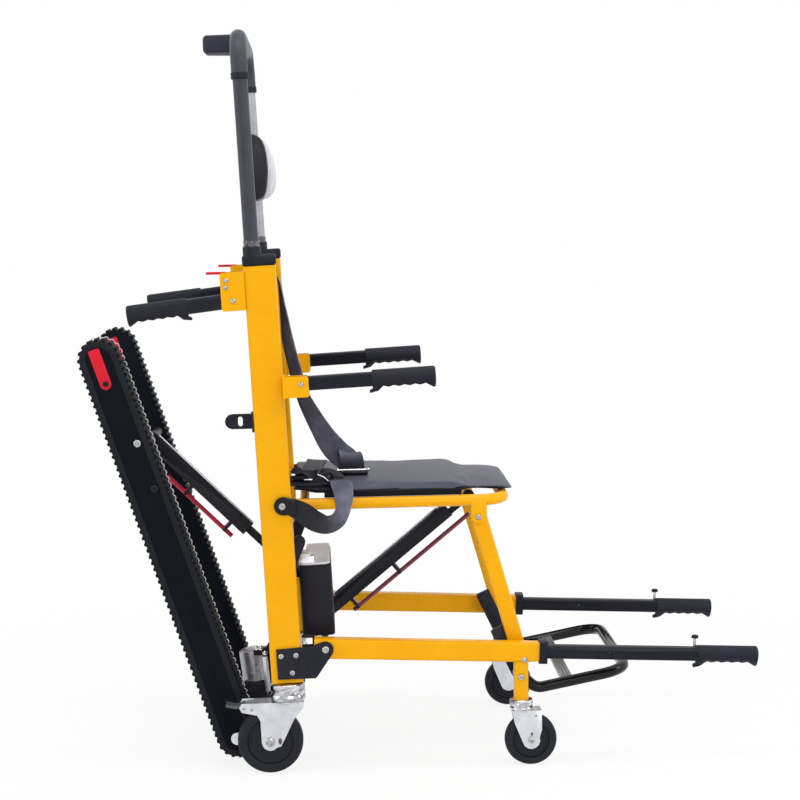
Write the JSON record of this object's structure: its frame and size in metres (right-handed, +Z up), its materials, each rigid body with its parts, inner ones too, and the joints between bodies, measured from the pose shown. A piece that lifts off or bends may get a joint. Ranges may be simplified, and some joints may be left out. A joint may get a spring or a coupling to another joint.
{
  "type": "stair climbing wheelchair",
  "caption": "Folding powered stair chair with leaning uprights, telescopic push handle, toothed crawler tracks, fold-up seat, carry handles, footrest and swivel casters.",
  "frame": {"origin": "centre of the bounding box on the floor under the casters", "axes": "+X is the way the sitter faces, +Y is the sitter's left, +Z is up"},
  "size_m": [1.2842, 0.5568, 1.4115],
  "materials": {
    "upright_right": "yellow powder coat",
    "upright_left": "yellow powder coat",
    "top_cap_right": "black plastic",
    "top_cap_left": "black plastic",
    "upper_cross_tube": "yellow powder coat",
    "middle_cross_tube": "yellow powder coat",
    "lower_cross_tube": "black powder coat",
    "base_hinge": "black powder coat",
    "back_sling": "dark webbing",
    "drive_bracket": "black powder coat",
    "gear_motor": "grey motor paint",
    "battery_case": "black plastic",
    "battery_cap": "grey plastic",
    "shoulder_strap": "dark webbing",
    "lap_belt": "dark webbing",
    "push_handle": "black foam sleeve over tube, plastic shell",
    "headrest_pad": "pale foam cover",
    "control_box": "black plastic",
    "control_switch": "red plastic",
    "seat_frame": "yellow powder coat",
    "seat_pad": "dark leatherette",
    "leg_right": "yellow powder coat",
    "leg_left": "yellow powder coat",
    "rail_right": "yellow powder coat",
    "rail_left": "yellow powder coat",
    "seat_strut_channel": "black powder coat",
    "seat_strut_slider": "zinc plated",
    "seat_release_bar": "burgundy coat",
    "footrest": "black powder coat",
    "track_housing_right": "black moulded cover",
    "track_housing_left": "black moulded cover",
    "track_belt_right": "track rubber",
    "track_belt_left": "track rubber",
    "track_cross_tube": "black powder coat",
    "track_strut_channel": "black powder coat",
    "track_strut_slider": "zinc plated",
    "track_release_bar": "burgundy coat",
    "drive_axle": "zinc plated",
    "rear_handle_right": "soft grip rubber over tube",
    "release_lever_right": "red plastic",
    "armrest_right": "soft grip rubber over tube",
    "front_handle_right": "soft grip rubber over tube",
    "lock_knob_right": "zinc plated",
    "front_fork_right": "zinc plated",
    "front_wheel_right": "caster tyre rubber",
    "rear_fork_right": "zinc plated",
    "rear_wheel_right": "caster tyre rubber",
    "brake_pedal_right": "black plastic",
    "idler_right": "black plastic",
    "rear_handle_left": "soft grip rubber over tube",
    "release_lever_left": "red plastic",
    "armrest_left": "soft grip rubber over tube",
    "front_handle_left": "soft grip rubber over tube",
    "lock_knob_left": "zinc plated",
    "front_fork_left": "zinc plated",
    "front_wheel_left": "caster tyre rubber",
    "rear_fork_left": "zinc plated",
    "rear_wheel_left": "caster tyre rubber",
    "brake_pedal_left": "black plastic",
    "idler_left": "black plastic"
  },
  "bodies": {
    "frame": {"upright_right": "upright_right", "upright_left": "upright_left", "top_cap_right": "top_cap_right", "top_cap_left": "top_cap_left", "upper_cross_tube": "upper_cross_tube", "middle_cross_tube": "middle_cross_tube", "lower_cross_tube": "lower_cross_tube", "base_hinge": "base_hinge", "back_sling": "back_sling", "drive_bracket": "drive_bracket", "gear_motor": "gear_motor", "battery_case": "battery_case", "battery_cap": "battery_cap", "shoulder_strap": "shoulder_strap", "lap_belt": "lap_belt"},
    "push_handle": {"push_handle": "push_handle", "headrest_pad": "headrest_pad", "control_box": "control_box"},
    "control_switch": {"control_switch": "control_switch"},
    "seat": {"seat_frame": "seat_frame", "seat_pad": "seat_pad"},
    "legs": {"leg_right": "leg_right", "leg_left": "leg_left"},
    "base": {"rail_right": "rail_right", "rail_left": "rail_left"},
    "seat_channel": {"seat_strut_channel": "seat_strut_channel"},
    "seat_slider": {"seat_strut_slider": "seat_strut_slider"},
    "seat_release": {"seat_release_bar": "seat_release_bar"},
    "footrest": {"footrest": "footrest"},
    "track": {"track_housing_right": "track_housing_right", "track_housing_left": "track_housing_left", "track_belt_right": "track_belt_right", "track_belt_left": "track_belt_left", "track_cross_tube": "track_cross_tube"},
    "track_channel": {"track_strut_channel": "track_strut_channel"},
    "track_slider": {"track_strut_slider": "track_strut_slider"},
    "track_release": {"track_release_bar": "track_release_bar"},
    "drive_axle": {"drive_axle": "drive_axle"},
    "rear_handle_right": {"rear_handle_right": "rear_handle_right"},
    "release_lever_right": {"release_lever_right": "release_lever_right"},
    "armrest_right": {"armrest_right": "armrest_right"},
    "front_handle_right": {"front_handle_right": "front_handle_right"},
    "lock_knob_right": {"lock_knob_right": "lock_knob_right"},
    "front_fork_right": {"front_fork_right": "front_fork_right"},
    "front_wheel_right": {"front_wheel_right": "front_wheel_right"},
    "rear_fork_right": {"rear_fork_right": "rear_fork_right"},
    "rear_wheel_right": {"rear_wheel_right": "rear_wheel_right"},
    "brake_pedal_right": {"brake_pedal_right": "brake_pedal_right"},
    "idler_right": {"idler_right": "idler_right"},
    "rear_handle_left": {"rear_handle_left": "rear_handle_left"},
    "release_lever_left": {"release_lever_left": "release_lever_left"},
    "armrest_left": {"armrest_left": "armrest_left"},
    "front_handle_left": {"front_handle_left": "front_handle_left"},
    "lock_knob_left": {"lock_knob_left": "lock_knob_left"},
    "front_fork_left": {"front_fork_left": "front_fork_left"},
    "front_wheel_left": {"front_wheel_left": "front_wheel_left"},
    "rear_fork_left": {"rear_fork_left": "rear_fork_left"},
    "rear_wheel_left": {"rear_wheel_left": "rear_wheel_left"},
    "brake_pedal_left": {"brake_pedal_left": "brake_pedal_left"},
    "idler_left": {"idler_left": "idler_left"}
  },
  "joints": [
    {"name": "seat_fold", "type": "hinge", "parent": "frame", "child": "seat", "pos_m": [-0.26366, 0, 0.513], "axis": [0, -1, 0], "range_deg": [0, 82], "deforming": ["lap_belt", "shoulder_strap"]},
    {"name": "base_fold", "type": "hinge", "parent": "frame", "child": "base", "pos_m": [-0.18766, 0, 0.238], "axis": [0, -1, 0], "range_deg": [0, 82]},
    {"name": "leg_fold", "type": "hinge", "parent": "seat", "child": "legs", "pos_m": [0.11134, 0, 0.48], "axis": [0, -1, 0], "range_deg": [-82, 0]},
    {"name": "seat_channel_tilt", "type": "hinge", "parent": "frame", "child": "seat_channel", "pos_m": [-0.18766, 0.06, 0.238], "axis": [0, -1, 0], "range_deg": [0, 50.19]},
    {"name": "seat_slider_tilt", "type": "hinge", "parent": "seat", "child": "seat_slider", "pos_m": [0.11134, 0.06, 0.48], "axis": [0, -1, 0], "range_deg": [-31.83, 0]},
    {"name": "seat_release_pull", "type": "slide", "parent": "seat_channel", "child": "seat_release", "axis": [0.7773, 0, 0.6291], "range_m": [0, 0.008], "stiffness_N_per_m": 400},
    {"name": "footrest_tip", "type": "hinge", "parent": "base", "child": "footrest", "pos_m": [0.18534, 0, 0.17], "axis": [0, -1, 0], "range_deg": [0, 18]},
    {"name": "track_fold", "type": "hinge", "parent": "frame", "child": "track", "pos_m": [-0.36066, 0, 0.058], "axis": [0, 1, 0], "range_deg": [0, 15]},
    {"name": "track_channel_tilt", "type": "hinge", "parent": "track", "child": "track_channel", "pos_m": [-0.52167, 0, 0.6198], "axis": [0, 1, 0], "range_deg": [0, 9.01]},
    {"name": "track_slider_tilt", "type": "hinge", "parent": "frame", "child": "track_slider", "pos_m": [-0.26666, 0, 0.365], "axis": [0, 1, 0], "range_deg": [0, 24.01]},
    {"name": "track_release_pull", "type": "slide", "parent": "track_channel", "child": "track_release", "axis": [0.7074, 0, -0.7068], "range_m": [0, 0.008], "stiffness_N_per_m": 400},
    {"name": "push_handle_slide", "type": "slide", "parent": "frame", "child": "push_handle", "axis": [-0.0414, 0, 0.9991], "range_m": [-0.11, 0]},
    {"name": "control_rocker", "type": "hinge", "parent": "push_handle", "child": "control_switch", "pos_m": [-0.36829, 0, 1.40699], "axis": [0, 1, 0], "range_deg": [-8, 8], "stiffness_Nm_per_rad": 0.05},
    {"name": "drive_turn", "type": "hinge", "parent": "frame", "child": "drive_axle", "pos_m": [-0.36066, 0, 0.058], "axis": [0, 1, 0], "continuous": true},
    {"name": "rear_handle_fold_right", "type": "hinge", "parent": "frame", "child": "rear_handle_right", "pos_m": [-0.34326, -0.22, 0.9022], "axis": [0, -1, 0], "range_deg": [0, 75]},
    {"name": "release_lever_press_right", "type": "hinge", "parent": "frame", "child": "release_lever_right", "pos_m": [-0.35516, -0.22, 0.94], "axis": [0, -1, 0], "range_deg": [0, 12], "stiffness_Nm_per_rad": 0.4},
    {"name": "armrest_fold_right", "type": "hinge", "parent": "frame", "child": "armrest_right", "pos_m": [-0.22066, -0.262, 0.7475], "axis": [0, -1, 0], "range_deg": [0, 80]},
    {"name": "front_handle_slide_right", "type": "slide", "parent": "base", "child": "front_handle_right", "axis": [0.999, 0, -0.0454], "range_m": [-0.27, 0]},
    {"name": "lock_knob_pull_right", "type": "slide", "parent": "front_handle_right", "child": "lock_knob_right", "axis": [0.0454, 0, 0.999], "range_m": [0, 0.006], "stiffness_N_per_m": 300},
    {"name": "front_swivel_right", "type": "hinge", "parent": "base", "child": "front_fork_right", "pos_m": [0.18534, -0.22, 0.1284], "axis": [0, 0, 1], "continuous": true},
    {"name": "front_roll_right", "type": "hinge", "parent": "front_fork_right", "child": "front_wheel_right", "pos_m": [0.20234, -0.22, 0.05], "axis": [0, 1, 0], "continuous": true},
    {"name": "rear_swivel_right", "type": "hinge", "parent": "frame", "child": "rear_fork_right", "pos_m": [-0.26066, -0.22, 0.1734], "axis": [0, 0, 1], "range_deg": [-5, 270]},
    {"name": "rear_roll_right", "type": "hinge", "parent": "rear_fork_right", "child": "rear_wheel_right", "pos_m": [-0.29566, -0.22, 0.0625], "axis": [0, 1, 0], "continuous": true},
    {"name": "brake_lift_right", "type": "hinge", "parent": "rear_fork_right", "child": "brake_pedal_right", "pos_m": [-0.34466, -0.22, 0.13], "axis": [0, 1, 0], "range_deg": [0, 18]},
    {"name": "idler_turn_right", "type": "hinge", "parent": "track", "child": "idler_right", "pos_m": [-0.60161, -0.16, 0.79301], "axis": [0, 1, 0], "continuous": true},
    {"name": "rear_handle_fold_left", "type": "hinge", "parent": "frame", "child": "rear_handle_left", "pos_m": [-0.34326, 0.22, 0.9022], "axis": [0, -1, 0], "range_deg": [0, 75]},
    {"name": "release_lever_press_left", "type": "hinge", "parent": "frame", "child": "release_lever_left", "pos_m": [-0.35516, 0.22, 0.94], "axis": [0, -1, 0], "range_deg": [0, 12], "stiffness_Nm_per_rad": 0.4},
    {"name": "armrest_fold_left", "type": "hinge", "parent": "frame", "child": "armrest_left", "pos_m": [-0.22066, 0.262, 0.7475], "axis": [0, -1, 0], "range_deg": [0, 80]},
    {"name": "front_handle_slide_left", "type": "slide", "parent": "base", "child": "front_handle_left", "axis": [0.999, 0, -0.0454], "range_m": [-0.27, 0]},
    {"name": "lock_knob_pull_left", "type": "slide", "parent": "front_handle_left", "child": "lock_knob_left", "axis": [0.0454, 0, 0.999], "range_m": [0, 0.006], "stiffness_N_per_m": 300},
    {"name": "front_swivel_left", "type": "hinge", "parent": "base", "child": "front_fork_left", "pos_m": [0.18534, 0.22, 0.1284], "axis": [0, 0, 1], "continuous": true},
    {"name": "front_roll_left", "type": "hinge", "parent": "front_fork_left", "child": "front_wheel_left", "pos_m": [0.20234, 0.22, 0.05], "axis": [0, 1, 0], "continuous": true},
    {"name": "rear_swivel_left", "type": "hinge", "parent": "frame", "child": "rear_fork_left", "pos_m": [-0.26066, 0.22, 0.1734], "axis": [0, 0, -1], "range_deg": [-5, 270]},
    {"name": "rear_roll_left", "type": "hinge", "parent": "rear_fork_left", "child": "rear_wheel_left", "pos_m": [-0.29566, 0.22, 0.0625], "axis": [0, 1, 0], "continuous": true},
    {"name": "brake_lift_left", "type": "hinge", "parent": "rear_fork_left", "child": "brake_pedal_left", "pos_m": [-0.34466, 0.22, 0.13], "axis": [0, 1, 0], "range_deg": [0, 18]},
    {"name": "idler_turn_left", "type": "hinge", "parent": "track", "child": "idler_left", "pos_m": [-0.60161, 0.16, 0.79301], "axis": [0, 1, 0], "continuous": true}
  ],
  "couplings": [
    {"joint": "base_fold", "follows": "seat_fold", "ratio": 1},
    {"joint": "leg_fold", "follows": "seat_fold", "ratio": -1},
    {"joint": "seat_channel_tilt", "follows": "seat_fold", "ratio": 0.612},
    {"joint": "seat_slider_tilt", "follows": "seat_fold", "ratio": -0.388},
    {"joint": "track_channel_tilt", "follows": "track_fold", "ratio": 0.6},
    {"joint": "track_slider_tilt", "follows": "track_fold", "ratio": 1.6},
    {"joint": "idler_turn_right", "follows": "drive_turn", "ratio": 1},
    {"joint": "idler_turn_left", "follows": "drive_turn", "ratio": 1}
  ]
}
